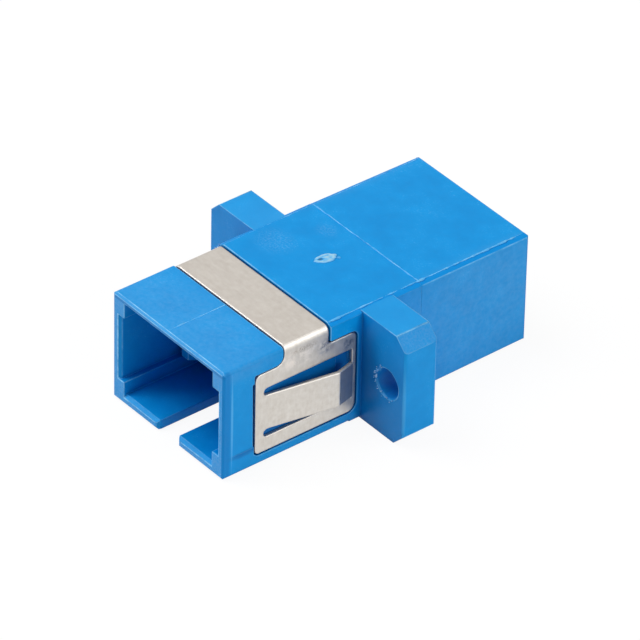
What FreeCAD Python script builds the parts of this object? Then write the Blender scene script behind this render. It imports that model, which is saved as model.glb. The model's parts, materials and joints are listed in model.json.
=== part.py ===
"""A panel-mount adapter for square push-pull fibre plugs, built piece by piece.

Two moulded housings are welded end to end. Inside, two sleeve holders stand
back to back and carry a split ceramic sleeve between them. A folded spring
clip sits in a recess over the front housing, and its tongues grip the panel
against the ears. X is across, Y along the fibre with the front mouth towards
-Y, Z is up. The origin is under the centre of the ears, on the resting plane.
"""
import FreeCAD
import Part
import math
import os

from FreeCAD import Vector

# Cutting shapes reach past what they cut, joined shapes run into each other
clear = 1.0
overlap = 0.1

# Outer housing, in millimetres
body_length = 28.2
body_width = 12.9
body_height = 9.6
front_step = 0.12
long_edge_width = 0.42
long_edge_drop = 0.2
front_edge_round = 0.3
mouth_corner_round = 0.2
mouth_lip_cut = 0.14
seam_y = 3.95
belly_setback = 1.0
rear_draft = 0.06

# Ears
ear_span = 22.6
ear_thickness = 3.0
ear_setback = 0.06
ear_corner_cut = 1.05
ear_edge_round = 0.25
ear_hole_margin = 1.95
ear_hole_radius = 1.2
ear_hole_bevel = 0.1

# Mouths and the cavity behind them
side_wall = 0.8
roof_wall = 0.66
floor_wall = 0.8
rib_width = 0.52
rib_height = 1.1
mouth_bevel = 0.25
keyway_width = 2.2
keyway_length = 8.5
keyway_corner_round = 0.4
spigot_gap = 0.04

# Sleeve holders
flange_thickness = 1.2
flange_play = 0.05
flange_gap = 0.1
tube_wall = 0.55
sleeve_gap = 0.05
sleeve_end_play = 0.15
lip_length = 0.6
ferrule_clearance = 0.22
tube_tip_bevel = 0.25
arm_thickness = 0.75
arm_width = 5.2
arm_wall_gap = 0.3
hook_depth = 5.2
hook_length = 1.5
hook_reach = 0.8
hook_nose = 0.3
arm_root_round = 0.5
hook_front_round = 0.12
hook_heel_round = 0.08
hook_throat_round = 0.15
flange_corner_round = 0.3

# Alignment sleeve
sleeve_radius = 1.6
sleeve_bore_radius = 1.25
sleeve_length = 11.4
sleeve_slit = 0.5

# Spring clip
sheet = 0.3
clip_seat_gap = 0.03
clip_edge_gap = 0.13
clip_band_gap = 0.16
clip_side_sink = 0.05
clip_top_rise = 0.05
clip_bend_radius = 0.55
wing_to_ear = 0.5
wing_length = 9.15
wing_bottom = 1.06
wing_height = 6.93
wing_front_top_round = 0.5
wing_front_low_round = 0.35
wing_rear_low_round = 0.7
wing_rear_top_round = 0.45
band_width = 4.0
band_setback = 2.58
band_front_round = 0.8
band_rear_round = 0.3
pocket_corner_round = 0.15
tongue_height = 3.0
tongue_lift = 2.93
slit_width = 0.66
slit_inset = 0.75
slit_end_share = 0.98
rear_strip = 0.36
tongue_root = 0.45
tongue_run = 5.65
tongue_angle = 10.5
tongue_tip_run = 1.5
tongue_tip_angle = 14.0
tongue_outer_round = 0.25
tongue_inner_round = 0.1
tongue_relief_length = 1.2
tongue_relief_depth = 0.2

# Pads on both cheeks ahead of the clip
pad_height = 0.09
pad_margin = 0.7
pad_lead = 0.8
pad_bottom = 1.9
pad_top_drop = 0.55
pad_gap = 0.2
pad_gap_sink = 0.1

axis_z = body_height / 2
front_y = -body_length / 2
rear_y = body_length / 2
front_bottom = front_step
front_top = body_height - front_step
half_inner = body_width / 2 - side_wall
floor_z = front_bottom + floor_wall
roof_z = front_top - roof_wall
flange_stop = flange_thickness + flange_play
arm_outer = half_inner - arm_wall_gap
arm_inner = arm_outer - arm_thickness
holder_bore = sleeve_radius + sleeve_gap
tube_radius = holder_bore + tube_wall
sleeve_stop = sleeve_length / 2 + sleeve_end_play
tube_end = sleeve_stop + lip_length
clip_outer = body_width / 2 - clip_side_sink
clip_top = front_top + clip_top_rise
wing_rear = -ear_thickness / 2 - wing_to_ear
wing_front = wing_rear - wing_length
wing_top = wing_bottom + wing_height
band_front = wing_front + band_setback
band_rear = band_front + band_width
pocket_front = wing_front - clip_edge_gap
pocket_rear = wing_rear + clip_edge_gap
slit_front = wing_front + slit_inset
middle_front = band_rear + clip_band_gap
belly_front = -ear_thickness / 2 - belly_setback


def on_xz(a, b):
    return Vector(a, 0, b)


def on_yz(a, b):
    return Vector(0, a, b)


def on_xy(a, b):
    return Vector(a, b, 0)


def outline(corners, plane):
    """Closed face through (a, b, radius) corners, each rounded by its radius."""
    points = [plane(a, b) for a, b, _ in corners]
    count = len(points)
    starts, ends, arcs = [], [], []
    for i, (_, _, radius) in enumerate(corners):
        here = points[i]
        back = (points[i - 1] - here).normalize()
        ahead = (points[(i + 1) % count] - here).normalize()
        if radius <= 0:
            starts.append(here)
            ends.append(here)
            arcs.append(None)
            continue
        half = back.getAngle(ahead) / 2
        reach = radius / math.tan(half)
        middle = (back + ahead).normalize()
        starts.append(here + back * reach)
        ends.append(here + ahead * reach)
        arcs.append(here + middle * (radius / math.sin(half) - radius))
    edges = []
    for i in range(count):
        if arcs[i] is not None:
            edges.append(Part.Arc(starts[i], arcs[i], ends[i]).toShape())
        following = starts[(i + 1) % count]
        if (following - ends[i]).Length > 1e-6:
            edges.append(Part.makeLine(ends[i], following))
    return Part.Face(Part.Wire(edges))


def prism(corners, plane, start, length):
    """Extrude an outline along the axis that its plane leaves out."""
    axis = plane(1, 0).cross(plane(0, 1))
    axis = Vector(abs(axis.x), abs(axis.y), abs(axis.z))
    face = outline(corners, plane)
    face.translate(axis * start)
    return face.extrude(axis * length)


def block(x0, x1, y0, y1, z0, z1):
    return Part.makeBox(x1 - x0, y1 - y0, z1 - z0, Vector(x0, y0, z0))


def rectangle(half_width, low, high, radius=0.0):
    return [
        (-half_width, low, radius),
        (half_width, low, radius),
        (half_width, high, radius),
        (-half_width, high, radius),
    ]


def bevelled(half_width, low, high, across, drop):
    """Box section with its four corners cut by a width and a height."""
    return [
        (-half_width + across, low, 0),
        (half_width - across, low, 0),
        (half_width, low + drop, 0),
        (half_width, high - drop, 0),
        (half_width - across, high, 0),
        (-half_width + across, high, 0),
        (-half_width, high - drop, 0),
        (-half_width, low + drop, 0),
    ]


def both_sides(shape):
    return shape.fuse(shape.mirror(Vector(0, 0, 0), Vector(1, 0, 0)))


def turned_round(shape):
    """The same shape facing the other end of the adapter."""
    return shape.mirror(Vector(0, 0, 0), Vector(0, 1, 0))


def lip_outline(mouth, end, low, high, draft):
    """Side view of a shell, bevelled at its mouth, drawn in by its draft."""
    cut = mouth_lip_cut
    inward = math.copysign(cut, end - mouth)
    return [
        (mouth, low + draft + cut, 0),
        (mouth + inward, low + draft, 0),
        (end, low, 0),
        (end, high, 0),
        (mouth + inward, high - draft, 0),
        (mouth, high - draft - cut, 0),
    ]


def front_shell():
    """Nose of the housing: rounded long edges, softened mouth edges."""
    half = body_width / 2
    end = pocket_rear
    length = end - front_y
    section = rectangle(half, front_bottom, front_top, front_edge_round)
    body = prism(section, on_xz, front_y, length)
    plan = [
        (-half, front_y, mouth_corner_round),
        (half, front_y, mouth_corner_round),
        (half, end, 0),
        (-half, end, 0),
    ]
    body = body.common(prism(plan, on_xy, front_bottom, front_top - front_bottom))
    side = lip_outline(front_y, end, front_bottom, front_top, 0)
    return body.common(prism(side, on_yz, -half, body_width))


def middle_shell():
    """Full-height section from behind the clip to the weld seam."""
    half = body_width / 2
    section = bevelled(half, 0, body_height, long_edge_width, long_edge_drop)
    body = prism(section, on_xz, middle_front, seam_y - middle_front)
    return body.cut(block(-half, half, middle_front, belly_front, 0, wing_bottom))


def ears():
    half = ear_span / 2
    low, high = ear_setback, body_height - ear_setback
    thick = ear_thickness / 2
    section = bevelled(half, low, high, ear_corner_cut, ear_corner_cut)
    plate = prism(section, on_xz, -thick, ear_thickness)
    plan = rectangle(half, -thick, thick, ear_edge_round)
    plate = plate.common(prism(plan, on_xy, low, high - low))
    along = Vector(0, 1, 0)
    wide = ear_hole_radius + ear_hole_bevel
    for side in (-1, 1):
        at = Vector(side * (half - ear_hole_margin), -thick, axis_z)
        hole = Part.makeCylinder(ear_hole_radius, ear_thickness, at, along)
        sink = Part.makeCone(wide, ear_hole_radius, ear_hole_bevel, at, along)
        plate = plate.cut(hole.fuse(sink))
    return plate


def cavity_outline():
    """Plug opening with a guide rib standing in each corner."""
    inner = half_inner - rib_width
    low, high = floor_z + rib_height, roof_z - rib_height
    return [
        (-inner, floor_z, 0),
        (inner, floor_z, 0),
        (inner, low, 0),
        (half_inner, low, 0),
        (half_inner, high, 0),
        (inner, high, 0),
        (inner, roof_z, 0),
        (-inner, roof_z, 0),
        (-inner, high, 0),
        (-half_inner, high, 0),
        (-half_inner, low, 0),
        (-inner, low, 0),
    ]


def mouth_lead_in():
    """Bevels on the four walls of the mouth, between the ribs."""
    inner = half_inner - rib_width
    low, high = floor_z + rib_height, roof_z - rib_height
    cut = mouth_bevel
    floor = [(front_y, floor_z - cut, 0), (front_y, floor_z, 0), (front_y + cut, floor_z, 0)]
    roof = [(front_y, roof_z + cut, 0), (front_y, roof_z, 0), (front_y + cut, roof_z, 0)]
    wall = [(half_inner + cut, front_y, 0), (half_inner, front_y, 0), (half_inner, front_y + cut, 0)]
    wedges = prism(floor, on_yz, -inner, 2 * inner)
    wedges = wedges.fuse(prism(roof, on_yz, -inner, 2 * inner))
    return wedges.fuse(both_sides(prism(wall, on_xy, low, high - low)))


def keyway():
    """Slot through the floor for the plug's key, open at the mouth."""
    half = keyway_width / 2
    round_in = keyway_corner_round
    beyond = front_y - clear
    wide = half + round_in + overlap
    plan = [
        (-wide, beyond, 0),
        (wide, beyond, 0),
        (wide, front_y, 0),
        (half, front_y, round_in),
        (half, front_y + keyway_length, round_in),
        (-half, front_y + keyway_length, round_in),
        (-half, front_y, round_in),
        (-wide, front_y, 0),
    ]
    return prism(plan, on_xy, -clear, floor_z + clear + overlap)


def mouth_cavity():
    """Everything removed behind the front mouth, down to the flange stop."""
    hollow = prism(cavity_outline(), on_xz, front_y, -flange_stop - front_y)
    return hollow.fuse([mouth_lead_in(), keyway()])


def clip_outline(gap, band_gap, front_round):
    """Side view of the clip, one wing and its band, grown by its clearances."""
    over = clip_top + clear
    return [
        (wing_front - gap, wing_bottom - gap, wing_front_low_round + gap),
        (wing_rear + gap, wing_bottom - gap, wing_rear_low_round + gap),
        (wing_rear + gap, wing_top + gap, wing_rear_top_round + gap),
        (band_rear + band_gap, wing_top + gap, band_rear_round - band_gap),
        (band_rear + band_gap, over, 0),
        (band_front - gap, over, 0),
        (band_front - gap, wing_top + gap, band_front_round - gap),
        (wing_front - gap, wing_top + gap, front_round),
    ]


def saddle(outer, top, bend, foot):
    """Arch seen from the front: two cheeks and a back with bent shoulders."""
    return [(-outer, foot, 0), (outer, foot, 0), (outer, top, bend), (-outer, top, bend)]


def clip_recess():
    """Pocket in the housing that the clip lies in, seated on its inside."""
    inner = clip_outer - sheet - clip_seat_gap
    top = clip_top - sheet - clip_seat_gap
    bend = clip_bend_radius - sheet
    reach = clip_outer + clear
    side = clip_outline(clip_edge_gap, clip_band_gap, pocket_corner_round)
    shape = prism(side, on_yz, -reach, 2 * reach)
    kept = prism(saddle(inner, top, bend, -clear), on_xz, pocket_front - clear, body_length)
    return shape.cut(kept)


def cheek_pads():
    """Low plain pads on both cheeks, proud at the foot, flush at the top and front."""
    outer = body_width / 2
    low, high = pad_bottom, wing_top - pad_top_drop
    start = front_y + pad_margin
    plan = [
        (outer - overlap, start, 0),
        (outer, start, 0),
        (outer + pad_height, start + pad_lead, 0),
        (outer + pad_height, pocket_front + clear, 0),
        (outer - overlap, pocket_front + clear, 0),
    ]
    lead_in = prism(plan, on_xy, low - clear, high - low + 2 * clear)
    section = [
        (outer - overlap, low, 0),
        (outer + pad_height, low, 0),
        (outer, high, 0),
        (outer - overlap, high, 0),
    ]
    pad = prism(section, on_xz, start, pocket_front - start)
    return both_sides(pad.common(lead_in))


def pad_reliefs():
    """Wider gap between each pad and the front edge of the wing."""
    inner = clip_outer - sheet - clip_seat_gap - pad_gap_sink
    low, high = pad_bottom, wing_top - pad_top_drop
    relief = block(inner, inner + clear, pocket_front - pad_gap, wing_front, low, high)
    return both_sides(relief)


def tongue_reliefs():
    """Hollows under the tongue tips, which dip when the clip is pressed in."""
    inner = clip_outer - sheet - clip_seat_gap - tongue_relief_depth
    end = wing_rear - rear_strip
    low, high = tongue_lift - slit_width, tongue_lift + tongue_height + slit_width
    relief = block(inner, inner + clear, end - tongue_relief_length, end, low, high)
    return both_sides(relief)


def ears_with_core():
    """Ears joined to a core that the cavity then opens."""
    half = body_width / 2 - side_wall / 2
    thick = ear_thickness / 2
    core = block(-half, half, -thick, thick, floor_z - overlap, roof_z + overlap)
    return ears().fuse(core)


def front_housing():
    body = front_shell().fuse([middle_shell(), ears_with_core(), cheek_pads()])
    body = body.cut(mouth_cavity())
    chamber = prism(rectangle(half_inner, floor_z, roof_z), on_xz, -flange_stop, seam_y + flange_stop)
    body = body.cut(chamber)
    return body.cut(clip_recess().fuse([pad_reliefs(), tongue_reliefs()])).removeSplitter()


def rear_shell():
    """Rear half, drawn in slightly towards its mouth."""
    half = body_width / 2
    tight = half - rear_draft
    low, high = rear_draft, body_height - rear_draft
    near = outline(bevelled(half, 0, body_height, long_edge_width, long_edge_drop), on_xz)
    near.translate(Vector(0, seam_y, 0))
    far = outline(bevelled(tight, low, high, long_edge_width, long_edge_drop), on_xz)
    far.translate(Vector(0, rear_y, 0))
    body = Part.makeLoft([near.OuterWire, far.OuterWire], True, True)
    plan = [
        (-half, seam_y, 0),
        (half, seam_y, 0),
        (tight, rear_y, mouth_corner_round),
        (-tight, rear_y, mouth_corner_round),
    ]
    body = body.common(prism(plan, on_xy, 0, body_height))
    side = lip_outline(rear_y, seam_y, 0, body_height, rear_draft)
    return body.common(prism(side, on_yz, -half, body_width))


def spigot():
    """Collar that enters the front housing and holds the flanges down."""
    gap = spigot_gap
    section = rectangle(half_inner - gap, floor_z + gap, roof_z - gap)
    return prism(section, on_xz, flange_stop, seam_y - flange_stop)


def rear_housing():
    body = rear_shell().fuse(spigot())
    return body.cut(turned_round(mouth_cavity())).removeSplitter()


def latch_arm():
    """Spring arm with a hook at its tip, standing on the flange at +X."""
    low = axis_z - arm_width / 2
    tip = front_y + hook_depth
    heel = tip + hook_length
    reach = arm_inner - hook_reach
    plan = [
        (arm_outer, -flange_thickness, 0),
        (arm_outer, tip + hook_nose, 0),
        (arm_outer - hook_nose, tip, 0),
        (arm_inner - hook_nose, tip, 0),
        (reach, tip + hook_length / 2, hook_front_round),
        (reach, heel, hook_heel_round),
        (arm_inner, heel, hook_throat_round),
        (arm_inner, -flange_thickness, 0),
    ]
    return prism(plan, on_xy, low, arm_width)


def arm_root():
    """Quarter-round fillet where an arm leaves the flange."""
    low = axis_z - arm_width / 2
    edge = arm_inner
    face = -flange_thickness
    corner = block(edge - arm_root_round, edge, face - arm_root_round, face, low, low + arm_width)
    at = Vector(edge - arm_root_round, face - arm_root_round, low)
    return corner.cut(Part.makeCylinder(arm_root_round, arm_width, at, Vector(0, 0, 1)))


def sleeve_tube():
    """Tube that wraps the sleeve and stops it with a lip at the tip."""
    reach = tube_end
    cut = tube_tip_bevel
    profile = [
        (0, 0, 0),
        (tube_radius, 0, 0),
        (tube_radius, -reach + cut, 0),
        (tube_radius - cut, -reach, 0),
        (0, -reach, 0),
    ]
    body = outline(profile, on_xy).revolve(Vector(0, 0, 0), Vector(0, 1, 0), 360)
    body.translate(Vector(0, 0, axis_z))
    return body


def sleeve_bore():
    """Stepped hole: the sleeve's seat, then the lip that a ferrule enters."""
    seat = sleeve_stop
    throat = sleeve_bore_radius + ferrule_clearance
    flare = throat + tube_tip_bevel
    tip = tube_end
    profile = [
        (0, clear, 0),
        (holder_bore, clear, 0),
        (holder_bore, -seat, 0),
        (throat, -seat, 0),
        (throat, -tip + tube_tip_bevel, 0),
        (flare, -tip, 0),
        (flare, -tip - clear, 0),
        (0, -tip - clear, 0),
    ]
    body = outline(profile, on_xy).revolve(Vector(0, 0, 0), Vector(0, 1, 0), 360)
    body.translate(Vector(0, 0, axis_z))
    return body


def sleeve_holder():
    """Flange, tube and two latch arms, moulded as one piece."""
    gap = flange_gap
    section = rectangle(half_inner - gap, floor_z + gap, roof_z - gap, flange_corner_round)
    flange = prism(section, on_xz, -flange_thickness, flange_thickness)
    arms = both_sides(latch_arm().fuse(arm_root()))
    body = flange.fuse([arms, sleeve_tube()])
    return body.cut(sleeve_bore()).removeSplitter()


def alignment_sleeve():
    """Split ceramic tube that lines the two ferrules up."""
    half = sleeve_length / 2
    at = Vector(0, -half, axis_z)
    along = Vector(0, 1, 0)
    tube = Part.makeCylinder(sleeve_radius, sleeve_length, at, along)
    tube = tube.cut(Part.makeCylinder(sleeve_bore_radius, sleeve_length, at, along))
    slit = sleeve_slit / 2
    return tube.cut(block(-slit, slit, -half, half, axis_z, axis_z + 2 * sleeve_radius))


def tongue_slits():
    """Two slits with round fronts and the gap behind the tongue's tip."""
    back = wing_rear - rear_strip
    reach = clip_outer + clear
    low = tongue_lift - slit_width
    high = tongue_lift + tongue_height
    end_round = slit_end_share * slit_width / 2
    cuts = []
    for foot in (low, high):
        section = [
            (slit_front, foot, end_round),
            (back, foot, 0),
            (back, foot + slit_width, 0),
            (slit_front, foot + slit_width, end_round),
        ]
        cuts.append(prism(section, on_yz, clip_outer / 2, reach))
    root = slit_front + tongue_root
    window = [
        (root, low, 0),
        (back, low, 0),
        (back, high + slit_width, 0),
        (root, high + slit_width, 0),
    ]
    return cuts[0].fuse([cuts[1], prism(window, on_yz, clip_outer / 2, reach)])


def bent_tongue():
    """Spring tongue: rises from the wing, then turns back in at its tip."""
    rise = math.radians(tongue_angle)
    fall = math.radians(tongue_tip_angle)
    inner = clip_outer - sheet
    root = slit_front + tongue_root
    crest_y = root + tongue_run
    crest_x = clip_outer + tongue_run * math.tan(rise)
    tip_y = crest_y + tongue_tip_run
    tip_x = crest_x - tongue_tip_run * math.tan(fall)
    thick_rise = sheet / math.cos(rise)
    thick_fall = sheet / math.cos(fall)
    plan = [
        (inner, slit_front, 0),
        (clip_outer, slit_front, 0),
        (clip_outer, root, 0),
        (crest_x, crest_y, tongue_outer_round),
        (tip_x, tip_y, 0),
        (tip_x - thick_fall, tip_y, 0),
        (crest_x - thick_rise, crest_y, tongue_inner_round),
        (inner, root, 0),
    ]
    return prism(plan, on_xy, tongue_lift, tongue_height)


def mounting_clip():
    """One folded sheet: a band over the top, a wing and a tongue each side."""
    inner = clip_outer - sheet
    foot = wing_bottom - clear
    arch = prism(saddle(clip_outer, clip_top, clip_bend_radius, foot), on_xz, wing_front, wing_length)
    hollow = saddle(inner, clip_top - sheet, clip_bend_radius - sheet, foot - clear)
    arch = arch.cut(prism(hollow, on_xz, wing_front, wing_length))
    reach = clip_outer + clear
    side = clip_outline(0, 0, wing_front_top_round)
    blank = arch.common(prism(side, on_yz, -reach, 2 * reach))
    blank = blank.cut(both_sides(tongue_slits()))
    return blank.fuse(both_sides(bent_tongue())).removeSplitter()


def write_part(name, shape):
    shape = shape.Solids[0] if len(shape.Solids) == 1 else shape
    print(name, "solids", len(shape.Solids), "valid", shape.isValid(), "volume", round(shape.Volume, 3))
    shape.exportStep(os.path.join("parts", name + ".step"))


os.makedirs("parts", exist_ok=True)
holder = sleeve_holder()
write_part("front_housing", front_housing())
write_part("rear_housing", rear_housing())
write_part("front_sleeve_holder", holder)
write_part("rear_sleeve_holder", turned_round(holder))
write_part("alignment_sleeve", alignment_sleeve())
write_part("mounting_clip", mounting_clip())
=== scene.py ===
import json
import math

import bmesh
import bpy
from mathutils import Matrix, Vector, noise


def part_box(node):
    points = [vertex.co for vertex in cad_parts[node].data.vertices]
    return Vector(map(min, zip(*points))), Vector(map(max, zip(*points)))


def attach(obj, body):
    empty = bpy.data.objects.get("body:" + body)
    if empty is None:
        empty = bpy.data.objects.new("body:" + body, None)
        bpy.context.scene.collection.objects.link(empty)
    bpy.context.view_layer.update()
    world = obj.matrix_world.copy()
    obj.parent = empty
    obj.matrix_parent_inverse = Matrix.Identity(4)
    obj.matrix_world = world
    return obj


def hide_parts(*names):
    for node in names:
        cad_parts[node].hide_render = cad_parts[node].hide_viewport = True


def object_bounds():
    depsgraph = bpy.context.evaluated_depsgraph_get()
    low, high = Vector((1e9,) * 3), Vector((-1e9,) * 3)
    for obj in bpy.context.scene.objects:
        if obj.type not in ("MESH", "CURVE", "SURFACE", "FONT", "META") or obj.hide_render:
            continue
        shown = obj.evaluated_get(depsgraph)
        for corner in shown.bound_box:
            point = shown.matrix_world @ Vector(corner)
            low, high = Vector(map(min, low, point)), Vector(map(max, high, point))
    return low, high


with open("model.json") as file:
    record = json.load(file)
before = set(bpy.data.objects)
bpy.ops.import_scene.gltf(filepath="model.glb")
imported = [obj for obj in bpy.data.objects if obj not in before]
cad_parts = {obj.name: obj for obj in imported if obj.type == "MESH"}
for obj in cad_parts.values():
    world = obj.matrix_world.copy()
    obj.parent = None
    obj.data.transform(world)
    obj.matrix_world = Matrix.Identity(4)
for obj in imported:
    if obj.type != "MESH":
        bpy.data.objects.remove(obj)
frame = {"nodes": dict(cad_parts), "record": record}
cad_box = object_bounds()
scene = bpy.context.scene

# Product photograph: a long lens well back, looking down at the front mouth
# and the right cheek, tipped by about a degree.
MM = 0.001
azimuth, elevation, roll = (math.radians(a) for a in (50.5805, 36.0347, 1.2464))
aim = Vector((-0.071, -0.084, 4.385))
distance = 509.8616
back = Vector((
    math.sin(azimuth) * math.cos(elevation),
    -math.cos(azimuth) * math.cos(elevation),
    math.sin(elevation),
))
level = Vector((math.cos(azimuth), math.sin(azimuth), 0))
upright = back.cross(level)
right = level * math.cos(roll) + upright * math.sin(roll)
up = upright * math.cos(roll) - level * math.sin(roll)
lens = bpy.data.cameras.new("product_camera")
lens.sensor_width = 36
lens.lens = 395.19
lens.clip_start = 0.01
lens.clip_end = 10
camera = bpy.data.objects.new("product_camera", lens)
scene.collection.objects.link(camera)
turn = Matrix((right, up, back)).transposed().to_4x4()
camera.matrix_world = Matrix.Translation((aim + back * distance) * MM) @ turn
scene.camera = camera
scene.view_settings.view_transform = "Standard"


# White seamless paper under soft, even studio light. The sweep shows as the
# white page of the photograph and keeps the contact shadow of the adapter.
def srgb(code):
    """The linear colour of a six-figure sRGB code."""
    steps = [int(code[i:i + 2], 16) / 255 for i in (0, 2, 4)]
    return [s / 12.92 if s <= 0.04045 else ((s + 0.055) / 1.055) ** 2.4 for s in steps] + [1]


def blank(name):
    """A new material without nodes, and its tree."""
    made = bpy.data.materials.new(name)
    made.use_nodes = True
    made.node_tree.nodes.clear()
    return made, made.node_tree


def node(tree, kind, links=None, values=None, **settings):
    """One node, its settings, the values on its sockets and the links into it."""
    made = tree.nodes.new(kind)
    for name, value in settings.items():
        setattr(made, name, value)
    for name, value in (values or {}).items():
        made.inputs[name].default_value = value
    for name, source in (links or {}).items():
        tree.links.new(source, made.inputs[name])
    return made


def times(tree, one, other):
    """The product of a socket and another socket or a number."""
    made = node(tree, "ShaderNodeMath", {0: one}, operation="MULTIPLY")
    if isinstance(other, float):
        made.inputs[1].default_value = other
    else:
        tree.links.new(other, made.inputs[1])
    return made.outputs[0]


def seen_directly(tree):
    """1 for a ray that shows the backdrop itself, 0 for one that only lights."""
    path = node(tree, "ShaderNodeLightPath")
    shown = node(
        tree, "ShaderNodeMath",
        {0: path.outputs["Is Camera Ray"], 1: path.outputs["Is Glossy Ray"]},
        operation="ADD",
    )
    return node(
        tree, "ShaderNodeMath",
        {0: shown.outputs[0], 1: path.outputs["Is Transmission Ray"]},
        operation="ADD", use_clamp=True,
    ).outputs[0]


paper, tree = blank("seamless_paper_white")
matt = node(tree, "ShaderNodeBsdfDiffuse", values={"Color": srgb("f4f4f4")})
page = node(tree, "ShaderNodeEmission", values={"Color": srgb("ffffff"), "Strength": 1.03})
sheet = node(
    tree, "ShaderNodeMixShader",
    {0: times(tree, seen_directly(tree), 0.9), 1: matt.outputs[0], 2: page.outputs[0]},
)
node(tree, "ShaderNodeOutputMaterial", {"Surface": sheet.outputs[0]})

ground = bmesh.new()
bmesh.ops.create_grid(ground, x_segments=1, y_segments=1, size=1.5)
mesh = bpy.data.meshes.new("paper_sweep")
ground.to_mesh(mesh)
ground.free()
mesh.materials.append(paper)
sweep = bpy.data.objects.new("paper_sweep", mesh)
scene.collection.objects.link(sweep)

world = bpy.data.worlds.new("light_tent")
world.use_nodes = True
scene.world = world
tree = world.node_tree
tree.nodes.clear()
fill = node(tree, "ShaderNodeBackground", values={"Color": srgb("ffffff"), "Strength": 0.24})
white = node(tree, "ShaderNodeBackground", values={"Color": srgb("ffffff"), "Strength": 1.0})
tent = node(
    tree, "ShaderNodeMixShader",
    {0: seen_directly(tree), 1: fill.outputs[0], 2: white.outputs[0]},
)
node(tree, "ShaderNodeOutputWorld", {"Surface": tent.outputs[0]})

for name, spot, size, power in (
    ("overhead_softbox", (-90, -80, 250), 180, 0.4),
    ("right_softbox", (400, 40, 200), 260, 0.6),
    ("edge_softbox", (230, 200, 245), 130, 0.17),
    ("left_softbox", (-380, -360, 220), 260, 0.8),
):
    lamp = bpy.data.lights.new(name, "AREA")
    lamp.shape = "DISK"
    lamp.size = size * MM
    lamp.energy = power
    box = bpy.data.objects.new(name, lamp)
    scene.collection.objects.link(box)
    stand = Vector(spot) * MM
    aimed = stand.to_track_quat("Z", "Y").to_matrix().to_4x4()
    box.matrix_world = Matrix.Translation(stand) @ aimed


# Moulded PBT, satin: glass-free, mass-coloured blue from a lightly worn tool.
# It gives flow clouds behind the gate, orange peel and paler scuffed rims; its
# light edges are painted highlights and its deep, saturated corners painted shade.
def speckle(tree, place, size, detail, roughness=0.5):
    """Noise with a pattern about so many millimetres wide."""
    return node(
        tree, "ShaderNodeTexNoise", {"Vector": place},
        {"Scale": 1 / (size * MM), "Detail": detail, "Roughness": roughness},
    ).outputs["Fac"]


def remap(tree, value, low, high, to_low=0.0, to_high=1.0, **settings):
    """A value between low and high, stretched to run between two others."""
    return node(
        tree, "ShaderNodeMapRange", {"Value": value},
        {"From Min": low, "From Max": high, "To Min": to_low, "To Max": to_high}, **settings,
    ).outputs["Result"]


def unsigned(tree, value):
    """A value without its sign."""
    return node(tree, "ShaderNodeMath", {0: value}, operation="ABSOLUTE").outputs[0]


def ramp(tree, value, *stops):
    """A colour ramp through stops, each a position and an sRGB code."""
    made = node(tree, "ShaderNodeValToRGB", {"Fac": value})
    elements = made.color_ramp.elements
    while len(elements) < len(stops):
        elements.new(1.0)
    for element, (position, code) in zip(elements, stops):
        element.position = position
        element.color = srgb(code)
    return made.outputs["Color"]


def tinted(tree, colour, share, code):
    """A colour drawn towards an sRGB code by a share."""
    return node(
        tree, "ShaderNodeMix", {"Factor": share, 6: colour}, {7: srgb(code)}, data_type="RGBA",
    ).outputs[2]


def kept(tree, colour, share, code):
    """An sRGB code that gives way to a colour by a share."""
    return node(
        tree, "ShaderNodeMix", {"Factor": share, 7: colour}, {6: srgb(code)}, data_type="RGBA",
    ).outputs[2]


def toned(tree, colour):
    """A colour under the tone of its face, by the share in the tone's alpha; the tones also hold
    painted shade and a painted reflection.
    """
    tone_and_light = node(tree, "ShaderNodeAttribute", attribute_name="face_tone_and_painted_light")
    return node(
        tree, "ShaderNodeMix",
        {"Factor": tone_and_light.outputs["Alpha"], 6: colour, 7: tone_and_light.outputs["Color"]},
        data_type="RGBA",
    ).outputs[2]


def around(tree, place, centre, reach):
    """1 at a point in millimetres, fading to 0 at its reach.

    A point on the right, where X is positive, counts for its mirror in X too.
    """
    if centre[0] > 0:
        parts = node(tree, "ShaderNodeSeparateXYZ", {"Vector": place})
        place = node(
            tree, "ShaderNodeCombineXYZ",
            {"X": unsigned(tree, parts.outputs["X"]),
             "Y": parts.outputs["Y"], "Z": parts.outputs["Z"]},
        ).outputs[0]
    off = node(
        tree, "ShaderNodeVectorMath", {0: place}, {1: Vector(centre) * MM}, operation="SUBTRACT"
    )
    shrunk = node(
        tree, "ShaderNodeVectorMath", {0: off.outputs[0]}, {1: Vector(reach) * MM},
        operation="DIVIDE",
    )
    far = node(tree, "ShaderNodeVectorMath", {0: shrunk.outputs[0]}, operation="LENGTH")
    return remap(tree, far.outputs["Value"], 1.0, 0.3, interpolation_type="SMOOTHSTEP")


# Places on the shells in millimetres, from the frame: the sides, the mouths and
# the top, the weld, the ears' ends, and their holes and front faces.
half, mouth, top = (edge_at / MM for edge_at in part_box("rear_housing")[1])
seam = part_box("front_housing")[1][1] / MM
ear_end = cad_box[1][0] / MM
holes = next(m for m in frame["record"]["mounts"] if m["name"] == "ear_holes")
hole_x = holes["dims"]["spacing_x_mm"] / 2
ear_front, hole_z = (at / MM for at in holes["pos_m"][1:])

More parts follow.
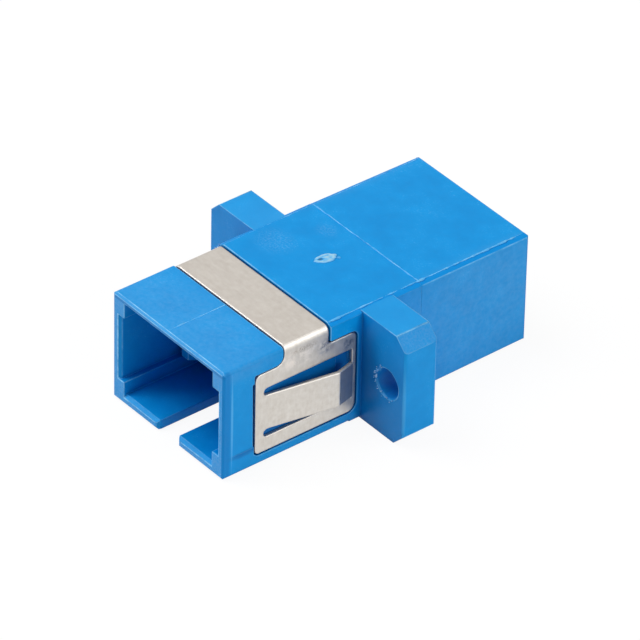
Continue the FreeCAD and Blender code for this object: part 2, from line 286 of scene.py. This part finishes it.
# Blue with flow clouds, dust in their light parts, and hazy areas: the top of
# the nose, the rear sides, two rubbed spots on the top and the screw holes.
pbt, tree = blank("moulded_pbt_satin_blue")
place = node(tree, "ShaderNodeTexCoord").outputs["Object"]
cloud = speckle(tree, place, 2.2, 5, 0.62)
dust = speckle(tree, place, 0.16, 2, 0.7)
peel = speckle(tree, place, 0.35, 3, 0.55)
hazed = ramp(tree, cloud, (0.32, "0090db"), (0.72, "029be6"))
bloom = times(tree, remap(tree, dust, 0.56, 0.72, to_high=0.5), remap(tree, cloud, 0.5, 0.68))
hazed = tinted(tree, hazed, bloom, "5fb4f0")
peeled = remap(tree, peel, 0.3, 0.7, 0.06, 0.2)
grains = remap(tree, dust, 0.44, 0.68, to_high=0.26)
for centre, reach, pattern in (
    ((0, -12.5, 9.3), (14, 6, 1.6), peeled),
    ((half, 9, 4.8), (1.5, 12.5, 9), peeled),
    ((-4.1, -1.15, top), (2.2, 1.9, 1), grains),
    ((-2.9, 2.7, top), (1.2, 1.0, 1), grains),
    ((hole_x - 0.82, -0.42, hole_z - 0.88), (0.7, 1.0, 0.8), grains),
):
    haze = times(tree, around(tree, place, centre, reach), pattern)
    hazed = tinted(tree, hazed, haze, "86bff0")
scuff = node(tree, "ShaderNodeAttribute", attribute_name="scuff").outputs["Fac"]
worn = times(tree, scuff, remap(tree, dust, 0.35, 0.7, 0.1, 0.75))
pale = tinted(tree, hazed, worn, "62a2e0")

# Painted highlights: light lines on rounded faces and wherever the surface
# turns, but not in corners, on the weld or in the mouths, and less on the sides.
shade = node(
    tree, "ShaderNodeAmbientOcclusion", values={"Distance": 0.8 * MM}, samples=8
).outputs["AO"]
softened = node(tree, "ShaderNodeBevel", values={"Radius": 0.12 * MM}, samples=8).outputs[0]
facing = node(
    tree, "ShaderNodeVectorMath",
    {0: softened, 1: node(tree, "ShaderNodeNewGeometry").outputs["Normal"]},
    operation="DOT_PRODUCT",
).outputs["Value"]
edge = node(tree, "ShaderNodeAttribute", attribute_name="edge").outputs["Fac"]
either = node(
    tree, "ShaderNodeMath", {0: edge, 1: remap(tree, facing, 0.995, 0.92)}, operation="MAXIMUM"
).outputs[0]
outward = remap(tree, shade, 0.72, 0.92)
along = node(tree, "ShaderNodeSeparateXYZ", {"Vector": place}).outputs["Y"]
past = node(tree, "ShaderNodeMath", {0: along}, {1: seam * MM}, operation="SUBTRACT").outputs[0]
off_weld = remap(tree, unsigned(tree, past), 0.1 * MM, 0.15 * MM)
hollow = node(
    tree, "ShaderNodeAmbientOcclusion", values={"Distance": 12 * MM}, samples=8, only_local=True
).outputs["AO"]
open_air = remap(tree, hollow, 0.35, 0.7, to_low=0.05)
looks = node(
    tree, "ShaderNodeSeparateXYZ", {"Vector": node(tree, "ShaderNodeTexCoord").outputs["Normal"]}
)
upper = remap(tree, unsigned(tree, looks.outputs["X"]), 0.4, 0.9, 1.0, 0.35)
uneven = remap(tree, speckle(tree, place, 1.3, 4, 0.7), 0.36, 0.62, to_low=0.2)
painted_highlight = either
for limit in (outward, off_weld, open_air, upper, uneven):
    painted_highlight = times(tree, painted_highlight, limit)
with_painted_highlights = tinted(tree, pale, painted_highlight, "94d8ff")

# Painted shade, a deeper blue in corners, and marks that mirror in X, each with its share.
with_painted_light_and_shade = kept(tree, toned(tree, with_painted_highlights), remap(tree, shade, 0.1, 0.75, to_low=0.2), "003a86")
pad = half + 0.05
for centre, reach, much, code in (
    # painted shadow under the pads, and darker strips ahead of them
    ((pad, -12.2, 1.75), (0.3, 1.9, 0.42), 0.8, "006fba"),
    ((half, -13.72, 4.8), (0.3, 0.4, 14.0), 0.85, "0080cc"),
    # painted shade over the front mouth
    ((0, -mouth, 9.14), (16.0, 0.35, 0.19), 0.75, "0078c4"),
    # painted shadow behind the clip, and on the inner parts of the ears' fronts
    ((half, -1.75, 4.4), (0.3, 0.5, 7.0), 0.7, "0072bc"),
    ((half + 0.45, ear_front, 4.6), (2.4, 0.3, 5.6), 0.65, "0064ae"),
    # painted highlights: light lines at the pads' front ends and the ears' outer edges
    ((pad, -13.32, 4.9), (0.3, 0.13, 5.5), 0.5, "6cc4fa"),
    ((ear_end, ear_front, 3.6), (0.28, 0.28, 5.2), 0.45, "62bcf6"),
    # pale smears in the screw holes
    ((hole_x - 1.05, -0.5, hole_z - 0.5), (0.7, 1.1, 0.85), 0.4, "74c8fc"),
):
    with_painted_light_and_shade = tinted(tree, with_painted_light_and_shade, times(tree, around(tree, place, centre, reach), much), code)

# Painted shade where the mouths hollow out, darker and less glossy, with a satin, peeled skin.
hollow_shade = remap(tree, hollow, 0.1, 0.6, to_low=0.34)
relief = node(
    tree, "ShaderNodeBump", {"Height": peel, "Normal": softened},
    {"Strength": 0.3, "Distance": 0.02 * MM},
)
grit = node(
    tree, "ShaderNodeBump",
    {"Height": dust, "Strength": worn, "Normal": relief.outputs["Normal"]},
    {"Distance": 0.03 * MM},
)
plastic = node(
    tree, "ShaderNodeBsdfPrincipled",
    {"Base Color": kept(tree, with_painted_light_and_shade, hollow_shade, "004ab2"), "Normal": grit.outputs["Normal"],
     "Roughness": remap(tree, peel, 0.3, 0.7, 0.36, 0.46),
     "Specular IOR Level": times(tree, hollow_shade, 0.17)},
    {"IOR": 1.5},
)
node(tree, "ShaderNodeOutputMaterial", {"Surface": plastic.outputs[0]})


# Front housing: injection-moulded in one shot with its ears and the pocket
# for the clip. The tool leaves every edge very slightly round.
def finished(made):
    """Apply the modifiers of a piece drawn in millimetres, then bring it to metres."""
    graph = bpy.context.evaluated_depsgraph_get()
    result = bpy.data.meshes.new_from_object(made.evaluated_get(graph))
    made.modifiers.clear()
    result.transform(Matrix.Scale(MM, 4))
    made.data = result
    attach(made, "root")
    return made


def room(loop):
    """The distance from the middle of a face's edge straight across the face."""
    middle = (loop.vert.co + loop.link_loop_next.vert.co) / 2
    run = (loop.link_loop_next.vert.co - loop.vert.co).normalized()
    inward = loop.face.normal.cross(run)
    nearest = math.inf
    for other in loop.face.loops:
        start, end = (v.co - middle for v in (other.vert, other.link_loop_next.vert))
        before, after = start.dot(run), end.dot(run)
        if other is not loop and before * after <= 0 and abs(before - after) > 1e-6:
            across = start.lerp(end, before / (before - after)).dot(inward)
            if across > 1e-4:
                nearest = min(nearest, across)
    return nearest


def rounded(cad_node, name, width, finish, sharp=32, butt=math.inf):
    """A CAD node's solid with its triangles joined and its edges rounded.

    A sharp edge is rounded where it and the edges that it meets have room for
    it, and is left as it is in the plane Y = butt, where another shell follows.
    The rounded faces carry the attribute "edge", and all faces a clear tone.
    """
    source = frame["nodes"][cad_node].data
    points = [v.co / MM for v in source.vertices]
    drawn = bpy.data.meshes.new(name)
    drawn.from_pydata(points, [], [list(p.vertices) for p in source.polygons])
    work = bmesh.new()
    work.from_mesh(drawn)
    bmesh.ops.remove_doubles(work, verts=work.verts, dist=0.0008)
    bmesh.ops.dissolve_limit(
        work, angle_limit=math.radians(0.6), verts=work.verts, edges=work.edges
    )
    weight = work.edges.layers.float.new("bevel_weight_edge")
    # Under half of the narrower face beside an edge, so that no two rounds meet.
    free = {
        line: 0.45 * min(room(loop) for loop in line.link_loops)
        for line in work.edges if line.calc_face_angle(0) > math.radians(sharp)
    }
    for line in free:
        met = {other for end in line.verts for other in end.link_edges if other in free}
        butted = all(abs(end.co.y - butt) < 0.01 for end in line.verts)
        line[weight] = float(not butted and all(free[other] >= width for other in met))
    for face in work.faces:
        face.smooth = True
    work.to_mesh(drawn)
    work.free()
    drawn.materials.append(finish)
    drawn.set_sharp_from_angle(angle=math.radians(sharp))
    made = bpy.data.objects.new(name, drawn)
    scene.collection.objects.link(made)
    bevel = made.modifiers.new("edges", "BEVEL")
    bevel.width = width
    bevel.segments = 2
    bevel.limit_method = "WEIGHT"
    bevel.use_clamp_overlap = False
    bevel.material = 1
    flat = made.modifiers.new("flat_faces", "WEIGHTED_NORMAL")
    flat.keep_sharp = True
    drawn.materials.append(finish)
    finished(made)
    rims = made.data.attributes.new("edge", "FLOAT", "FACE")
    tones_and_painted_light = made.data.attributes.new("face_tone_and_painted_light", "FLOAT_COLOR", "FACE")
    for face in made.data.polygons:
        rims.data[face.index].value = face.material_index
        face.material_index = 0
        tones_and_painted_light.data[face.index].color = (0, 0, 0, 0)
    made.data.materials.pop(index=1)
    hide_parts(cad_node)
    return made


front = rounded("front_housing", "front_shell", 0.06, pbt, butt=seam)

# Rear housing: the plain second shell, moulded alike and welded on behind
# the ears.
rear = rounded("rear_housing", "rear_shell", 0.06, pbt, butt=seam)

# The rims of both mouths rub on plugs and packing, and the ears' cut corners
# keep the tool's spark-eroded texture. Cuts, corners, the clip's pocket and the
# ears' fronts are deeper in painted shade, and the ears' tops and holes lighter.
for shell in (front, rear):
    wear = shell.data.attributes.new("scuff", "FLOAT", "FACE")
    tones_and_painted_light = shell.data.attributes["face_tone_and_painted_light"]
    for face in shell.data.polygons:
        side, along, height = (abs(part) for part in face.normal)
        x, y, z = (part / MM for part in face.center)
        outwards = face.normal.x * x > 0
        on_ear = abs(x) > half + 0.15
        rim = along > 0.9 and abs(y) > mouth - 0.2
        cut_corner = 0.6 < side < 0.8 and height > 0.6 and abs(x) > 9
        wear.data[face.index].value = 1.0 if rim else 0.5 if cut_corner else 0.0
        top_cut = 0.3 < side < 0.6 and height > 0.8 and abs(x) < 6.5 and z > 9 and y > -4.5
        turned_out = side > 0.02 and along > 0.02 and height < 0.5
        arris = turned_out and abs(x) > half - 0.21 and abs(y) > mouth - 0.22
        pocket = side > 0.9 and 5 < abs(x) < 6.3 and y < 0 and outwards
        hole = along < 0.3 and math.hypot(abs(x) - hole_x, z - hole_z) < 1.3
        # painted shade on the top cuts, the corner arrises, the clip's pocket and the ears' fronts
        for there, code, much in (
            (top_cut, "0090e0", 1.0),
            (arris, "0086d2", 1.0),
            (pocket, "005cac", 0.75),
            (on_ear and height > 0.9 and z > 7, "3cacf0", 0.25),
            (on_ear and along > 0.9 and y < 0, "006fc4", 0.4),
            (hole, "24a4ee", 0.8),
        ):
            if there:
                tones_and_painted_light.data[face.index].color = srgb(code)[:3] + [much]


# Weld and parting lines: thin ridges of flash that follow a straight joint,
# uneven in width as squeezed-out plastic is.
def group_of(name, sizes):
    """A new Geometry Nodes tree with its named inputs, and their identifiers."""
    made = bpy.data.node_groups.new(name, "GeometryNodeTree")
    made.interface.new_socket("Geometry", in_out="INPUT", socket_type="NodeSocketGeometry")
    keys = {}
    for label, kind in sizes:
        keys[label] = made.interface.new_socket(label, in_out="INPUT", socket_type=kind).identifier
    made.interface.new_socket("Geometry", in_out="OUTPUT", socket_type="NodeSocketGeometry")
    return made, keys


def put_out(tree, geometry, finish):
    """Real geometry in its finish, as the tree's output."""
    real = node(tree, "GeometryNodeRealizeInstances", {"Geometry": geometry})
    coated = node(
        tree, "GeometryNodeSetMaterial", {"Geometry": real.outputs[0], "Material": finish}
    )
    node(tree, "NodeGroupOutput", {"Geometry": coated.outputs[0]})


flash, flash_keys = group_of("flash_ridge", (
    ("Half width", "NodeSocketFloat"), ("Wander", "NodeSocketFloat"), ("Step", "NodeSocketFloat"),
    ("Seed", "NodeSocketInt"), ("Finish", "NodeSocketMaterial"),
))
given = node(flash, "NodeGroupInput").outputs
curve = node(flash, "GeometryNodeMeshToCurve", {"Mesh": given["Geometry"]})
even = node(
    flash, "GeometryNodeResampleCurve",
    {"Curve": curve.outputs[0], "Length": given["Step"]}, mode="LENGTH",
)
seed = node(flash, "ShaderNodeCombineXYZ", {"X": given["Seed"], "Y": given["Seed"]})
where = node(
    flash, "ShaderNodeVectorMath",
    {0: node(flash, "GeometryNodeInputPosition").outputs[0], 1: seed.outputs[0]}, operation="ADD",
)
swell = node(
    flash, "ShaderNodeTexNoise", {"Vector": where.outputs[0]},
    {"Scale": 1.1, "Detail": 4, "Roughness": 0.65},
)
share = remap(flash, swell.outputs["Fac"], 0.38, 0.66, 0.15, 1.4)
centred = node(
    flash, "ShaderNodeVectorMath", {0: swell.outputs["Color"]}, {1: (0.5, 0.5, 0.5)},
    operation="SUBTRACT",
)
drift = node(
    flash, "ShaderNodeVectorMath", {0: centred.outputs[0], "Scale": given["Wander"]},
    operation="SCALE",
)
moved = node(
    flash, "GeometryNodeSetPosition", {"Geometry": even.outputs[0], "Offset": drift.outputs[0]}
)
bead = node(flash, "GeometryNodeCurvePrimitiveCircle", values={"Resolution": 8, "Radius": 1.0})
solid = node(
    flash, "GeometryNodeCurveToMesh",
    {"Curve": moved.outputs[0], "Profile Curve": bead.outputs[0],
     "Scale": times(flash, share, given["Half width"])},
    {"Fill Caps": True},
)
smooth = node(flash, "GeometryNodeSetShadeSmooth", {"Geometry": solid.outputs[0]})
put_out(flash, smooth.outputs[0], given["Finish"])

# Squeezed-out PBT is thin enough to pass light: paler than the wall, same sheen.
pressed, tree = blank("thin_pbt_flash")
place = node(tree, "ShaderNodeTexCoord").outputs["Object"]
streak = speckle(tree, place, 0.9, 3, 0.6)
ripple = node(
    tree, "ShaderNodeBump", {"Height": streak}, {"Strength": 0.4, "Distance": 0.02 * MM}
)
skin = node(
    tree, "ShaderNodeBsdfPrincipled",
    {"Base Color": ramp(tree, streak, (0.35, "3aaef0"), (0.7, "7ccdfc")),
     "Normal": ripple.outputs["Normal"]},
    {"Roughness": 0.34, "IOR": 1.5, "Specular IOR Level": 0.4},
)
node(tree, "ShaderNodeOutputMaterial", {"Surface": skin.outputs[0]})


def grown(name, path, group, keys, sizes):
    """A path of points in millimetres, grown into a plain mesh by its nodes."""
    line = bpy.data.meshes.new(name)
    line.from_pydata(path, [(i, i + 1) for i in range(len(path) - 1)], [])
    made = bpy.data.objects.new(name, line)
    scene.collection.objects.link(made)
    modifier = made.modifiers.new(group.name, "NODES")
    modifier.node_group = group
    for label, value in sizes.items():
        modifier[keys[label]] = value
    finished(made)
    return made


arris_x = half - 0.42
grown("weld_seam", [
    (-arris_x - 0.1, seam, top - 0.03), (-arris_x + 0.05, seam, top), (arris_x, seam, top),
], flash, flash_keys, {
    "Half width": 0.05, "Wander": 0.16, "Step": 0.1, "Seed": 4, "Finish": pressed,
})
nose_top, band_front, band_back = 9.475, -8.75, -4.3
grown("parting_line", [
    (-0.2, 0.25 - mouth, nose_top), (-0.2, band_front, nose_top),
], flash, flash_keys, {
    "Half width": 0.055, "Wander": 0.04, "Step": 0.12, "Seed": 11, "Finish": pressed,
})
for side, name in ((1, "right"), (-1, "left")):
    grown(name + "_edge_flash", [
        (side * arris_x, band_back, top - 0.005), (side * arris_x, seam, top - 0.005),
        (side * (arris_x - 0.05), mouth - 0.25, top - 0.055),
    ], flash, flash_keys, {
        "Half width": 0.05 + 0.025 * side, "Wander": 0.1, "Step": 0.1, "Seed": 20 + side,
        "Finish": pressed,
    })


# Gate scar: where the runner was twisted off the top of the housing. The
# torn plastic stands a little proud, is pitted and has turned white.
torn, tree = blank("stress_whitened_pbt")
place = node(tree, "ShaderNodeTexCoord").outputs["Object"]
crumble = speckle(tree, place, 0.3, 4, 0.6)
whiteness = node(tree, "ShaderNodeAttribute", attribute_name="whitening").outputs["Fac"]
mixed = times(tree, remap(tree, crumble, 0.3, 0.7, 0.42, 0.62), whiteness)
stressed = ramp(
    tree, mixed, (0.02, "2f6d96"), (0.09, "1583cc"), (0.2, "5bb8f0"), (0.42, "a2d2ea")
)
pits = node(
    tree, "ShaderNodeBump", {"Height": crumble}, {"Strength": 0.6, "Distance": 0.05 * MM}
)
dull = node(
    tree, "ShaderNodeBsdfPrincipled",
    {"Base Color": stressed, "Normal": pits.outputs["Normal"]},
    {"Roughness": 0.6, "IOR": 1.5, "Specular IOR Level": 0.3},
)
node(tree, "ShaderNodeOutputMaterial", {"Surface": dull.outputs[0]})

# In a disc of radius 1, stretched on the top later: a crest near the rim, a
# mound inside it and a dark pit beside the mound. A crumb lies close by.
scar = bmesh.new()
whitening = scar.verts.layers.float.new("whitening")
centre = Vector((-0.174, 0.344, top))
rings, spokes = 16, 56
askew = Matrix.Rotation(math.radians(75), 3, "Z")
stretched = askew @ Matrix.Diagonal((0.98, 0.55, 1.0))
loops = []
for ring in range(rings + 1):
    loop = []
    for spoke in range(spokes if ring else 1):
        turn_by = 2 * math.pi * spoke / spokes
        out = Vector((math.cos(turn_by), math.sin(turn_by), 0))
        share = ring / rings
        spot = out * share
        ragged = 1 + 0.2 * noise.noise(out * 1.9 + Vector((3, 0, 0)))
        lump = noise.noise(spot * 3.1 + Vector((0, 5, 0)))
        crest = math.exp(-((share - 0.78) / 0.2) ** 2) * max(0.0, 0.8 + 0.7 * lump)
        mound = math.exp(-((spot - Vector((0.28, 0.05, 0))).length / 0.62) ** 2)
        pit = math.exp(-((spot - Vector((-0.42, 0.05, 0))).length / 0.22) ** 2)
        rise = 0.03 + 0.06 * crest + 0.08 * mound * (1 + lump) - 0.02 * pit - 0.06 * share ** 8
        vert = scar.verts.new(centre + stretched @ (spot * ragged) + Vector((0, 0, rise)))
        white = 0.36 + 0.5 * crest + mound * (0.3 + 0.6 * lump) - 0.8 * pit - 0.6 * share ** 10
        vert[whitening] = max(0.05, min(1.0, white))
        loop.append(vert)
    loops.append(loop)
for spoke in range(spokes):
    after = (spoke + 1) % spokes
    scar.faces.new((loops[0][0], loops[1][spoke], loops[1][after]))
    for ring in range(1, rings):
        scar.faces.new((loops[ring][spoke], loops[ring + 1][spoke],
                        loops[ring + 1][after], loops[ring][after]))
laid = Matrix.Translation((0.327, 1.228, top)) @ askew.to_4x4()
crumb = bmesh.ops.create_icosphere(
    scar, subdivisions=3, radius=1, matrix=laid @ Matrix.Diagonal((0.13, 0.12, 0.07, 1))
)
for vert in crumb["verts"]:
    vert[whitening] = 0.35
for face in scar.faces:
    face.smooth = True
drawn = bpy.data.meshes.new("gate_scar")
scar.to_mesh(drawn)
scar.free()
drawn.materials.append(torn)
gate = bpy.data.objects.new("gate_scar", drawn)
scene.collection.objects.link(gate)
finished(gate)


# Torn fringe at the screw holes: the core pin drags a few whitened crumbs
# out of the rim of each ear's hole.
def tossed(tree, seed, least, most):
    """A random vector for each crumb, between two others."""
    return node(
        tree, "FunctionNodeRandomValue", {"Seed": seed}, {0: least, 1: most},
        data_type="FLOAT_VECTOR",
    ).outputs[0]


def scaled(tree, vector, size):
    """A vector scaled by a size."""
    return node(
        tree, "ShaderNodeVectorMath", {0: vector, "Scale": size}, operation="SCALE"
    ).outputs[0]


fringe, fringe_keys = group_of("torn_fringe", (
    ("Crumbs", "NodeSocketInt"), ("Size", "NodeSocketFloat"), ("Scatter", "NodeSocketFloat"),
    ("Seed", "NodeSocketInt"), ("Finish", "NodeSocketMaterial"),
))
given = node(fringe, "NodeGroupInput").outputs
curve = node(fringe, "GeometryNodeMeshToCurve", {"Mesh": given["Geometry"]})
even = node(
    fringe, "GeometryNodeResampleCurve",
    {"Curve": curve.outputs[0], "Count": given["Crumbs"]}, mode="COUNT",
)
thrown = scaled(fringe, tossed(fringe, given["Seed"], (-1, -0.15, -1), (1, 0.15, 1)),
                given["Scatter"])
strewn = node(
    fringe, "GeometryNodeSetPosition", {"Geometry": even.outputs[0], "Offset": thrown}
)
chip = node(fringe, "GeometryNodeMeshIcoSphere", values={"Radius": 1.0, "Subdivisions": 2})
spin = tossed(fringe, given["Seed"], (0, 0, 0), (6.28, 6.28, 6.28))
stretch = tossed(fringe, given["Seed"], (0.4, 0.25, 0.6), (1.0, 0.5, 2.2))
crumbs = node(
    fringe, "GeometryNodeInstanceOnPoints",
    {"Points": strewn.outputs[0], "Instance": chip.outputs[0], "Rotation": spin,
     "Scale": scaled(fringe, stretch, given["Size"])},
)
put_out(fringe, crumbs.outputs[0], given["Finish"])

# Torn PBT crumbs scatter light: dull, and white where they are thinnest.
whitened, tree = blank("whitened_pbt_crumbs")
place = node(tree, "ShaderNodeTexCoord").outputs["Object"]
speck = speckle(tree, place, 0.15, 2)
crumbly = node(
    tree, "ShaderNodeBsdfPrincipled",
    {"Base Color": ramp(tree, speck, (0.35, "3c9fe4"), (0.65, "b4d8f2"))},
    {"Roughness": 0.6, "IOR": 1.5, "Specular IOR Level": 0.3},
)
node(tree, "ShaderNodeOutputMaterial", {"Surface": crumbly.outputs[0]})

rim_radius = holes["dims"]["hole_r_mm"] + 0.12
for side, name in ((1, "right"), (-1, "left")):
    for span, (first, last), number in (("upper", (112, 192), 26), ("lower", (200, 296), 9)):
        arc = []
        for i in range(13):
            angle = math.radians(first + (last - first) * i / 12)
            out, rise = rim_radius * math.cos(angle), rim_radius * math.sin(angle)
            arc.append((side * hole_x + out, ear_front - 0.02, hole_z + rise))
        grown("_".join((name, span, "fringe")), arc, fringe, fringe_keys, {
            "Crumbs": number, "Size": 0.07, "Scatter": 0.17, "Seed": 31 + side + number,
            "Finish": whitened,
        })


# Sleeve holders: hooked arms and sleeve tubes, moulded in the same blue and
# clamped back to back between the two housings.
for end in ("front", "rear"):
    holder = rounded(end + "_sleeve_holder", end + "_latch", 0.04, pbt)

# Alignment sleeve: split zirconia tube, ground and polished, loose between
# the two holders. It gives an ivory white with a hard, wet gloss.
zirconia, tree = blank("polished_zirconia")
place = node(tree, "ShaderNodeTexCoord").outputs["Object"]
grind = speckle(tree, place, 0.2, 3)
relief = node(
    tree, "ShaderNodeBump", {"Height": grind}, {"Strength": 0.1, "Distance": 0.003 * MM}
)
ceramic = node(
    tree, "ShaderNodeBsdfPrincipled",
    {"Base Color": ramp(tree, grind, (0.0, "e9e4da"), (1.0, "f6f3ec")),
     "Normal": relief.outputs["Normal"]},
    {"Roughness": 0.18, "IOR": 2.1, "Specular IOR Level": 0.5},
)
node(tree, "ShaderNodeOutputMaterial", {"Surface": ceramic.outputs[0]})
sleeve = rounded("alignment_sleeve", "split_sleeve", 0.03, zirconia)

# Spring clip: 0.3 mm stainless strip, blanked, folded over the housing and
# snapped into its pocket. The rolled finish gives a warm, milky grey with a
# faint grain along the strip, bright sheared edges and a few smudges.
steel, tree = blank("rolled_stainless_strip")
place = node(tree, "ShaderNodeTexCoord").outputs["Object"]
drawn_out = node(tree, "ShaderNodeMapping", {"Vector": place}, {"Scale": (1, 5, 1)})
grain = speckle(tree, drawn_out.outputs["Vector"], 0.9, 5, 0.62)
mottle = speckle(tree, place, 0.45, 4, 0.6)
blend = node(tree, "ShaderNodeMix", {2: grain, 3: mottle}, {0: 0.55}).outputs[0]
edge = node(tree, "ShaderNodeAttribute", attribute_name="edge").outputs["Fac"]
rolled = ramp(tree, blend, (0.36, "c9c3bb"), (0.66, "d9d5cf"))
smudged_and_lit = toned(tree, tinted(tree, rolled, edge, "d6d1cb"))
for centre, reach, squeeze, code in (
    # painted highlight below the fold, then three smudges
    ((6.4, -7.0, 8.0), (0.6, 3.0, 1.0), (0.4, 0.4, 0.4), "f0e8e0"),
    ((6.4, -4.75, 7.95), (0.6, 1.0, 0.9), (3, 1, 1), "6c7588"),
    ((6.4, -2.7, 7.3), (0.6, 0.7, 0.8), (1, 1, 1), "747a86"),
    ((6.4, -6.7, 8.6), (0.6, 1.7, 0.35), (2, 2, 2), "9a8f85"),
):
    laid = node(tree, "ShaderNodeMapping", {"Vector": place}, {"Scale": squeeze})
    marks = speckle(tree, laid.outputs["Vector"], 0.4, 4, 0.7)
    patchy = remap(tree, marks, 0.42, 0.62, to_high=0.8)
    smudge = times(tree, patchy, around(tree, place, centre, reach))
    smudged_and_lit = tinted(tree, smudged_and_lit, smudge, code)
eased = node(tree, "ShaderNodeBevel", values={"Radius": 0.16 * MM}, samples=8)
relief = node(
    tree, "ShaderNodeBump", {"Height": blend, "Normal": eased.outputs[0]},
    {"Strength": 0.3, "Distance": 0.012 * MM},
)
strip = node(
    tree, "ShaderNodeBsdfPrincipled",
    {"Base Color": smudged_and_lit, "Normal": relief.outputs["Normal"],
     "Roughness": remap(tree, grain, 0.3, 0.7, 0.38, 0.5)},
    {"Metallic": 1.0},
)
node(tree, "ShaderNodeOutputMaterial", {"Surface": strip.outputs[0]})
clip = rounded("mounting_clip", "spring_clip", 0.03, steel)

# The band is toned darker than the wings, and the bent tips of the tongues
# look towards the ears and get a painted reflection of their blue.
edges = clip.data.attributes["edge"]
tones_and_painted_light = clip.data.attributes["face_tone_and_painted_light"]
for face in clip.data.polygons:
    side, along, height = face.normal
    if height > 0.9:
        tones_and_painted_light.data[face.index].color = srgb("aba39a")[:3] + [0.45]
    elif abs(side) > 0.3 and along > 0.2 and not edges.data[face.index].value:
        tones_and_painted_light.data[face.index].color = srgb("1f4a80")[:3] + [0.4]
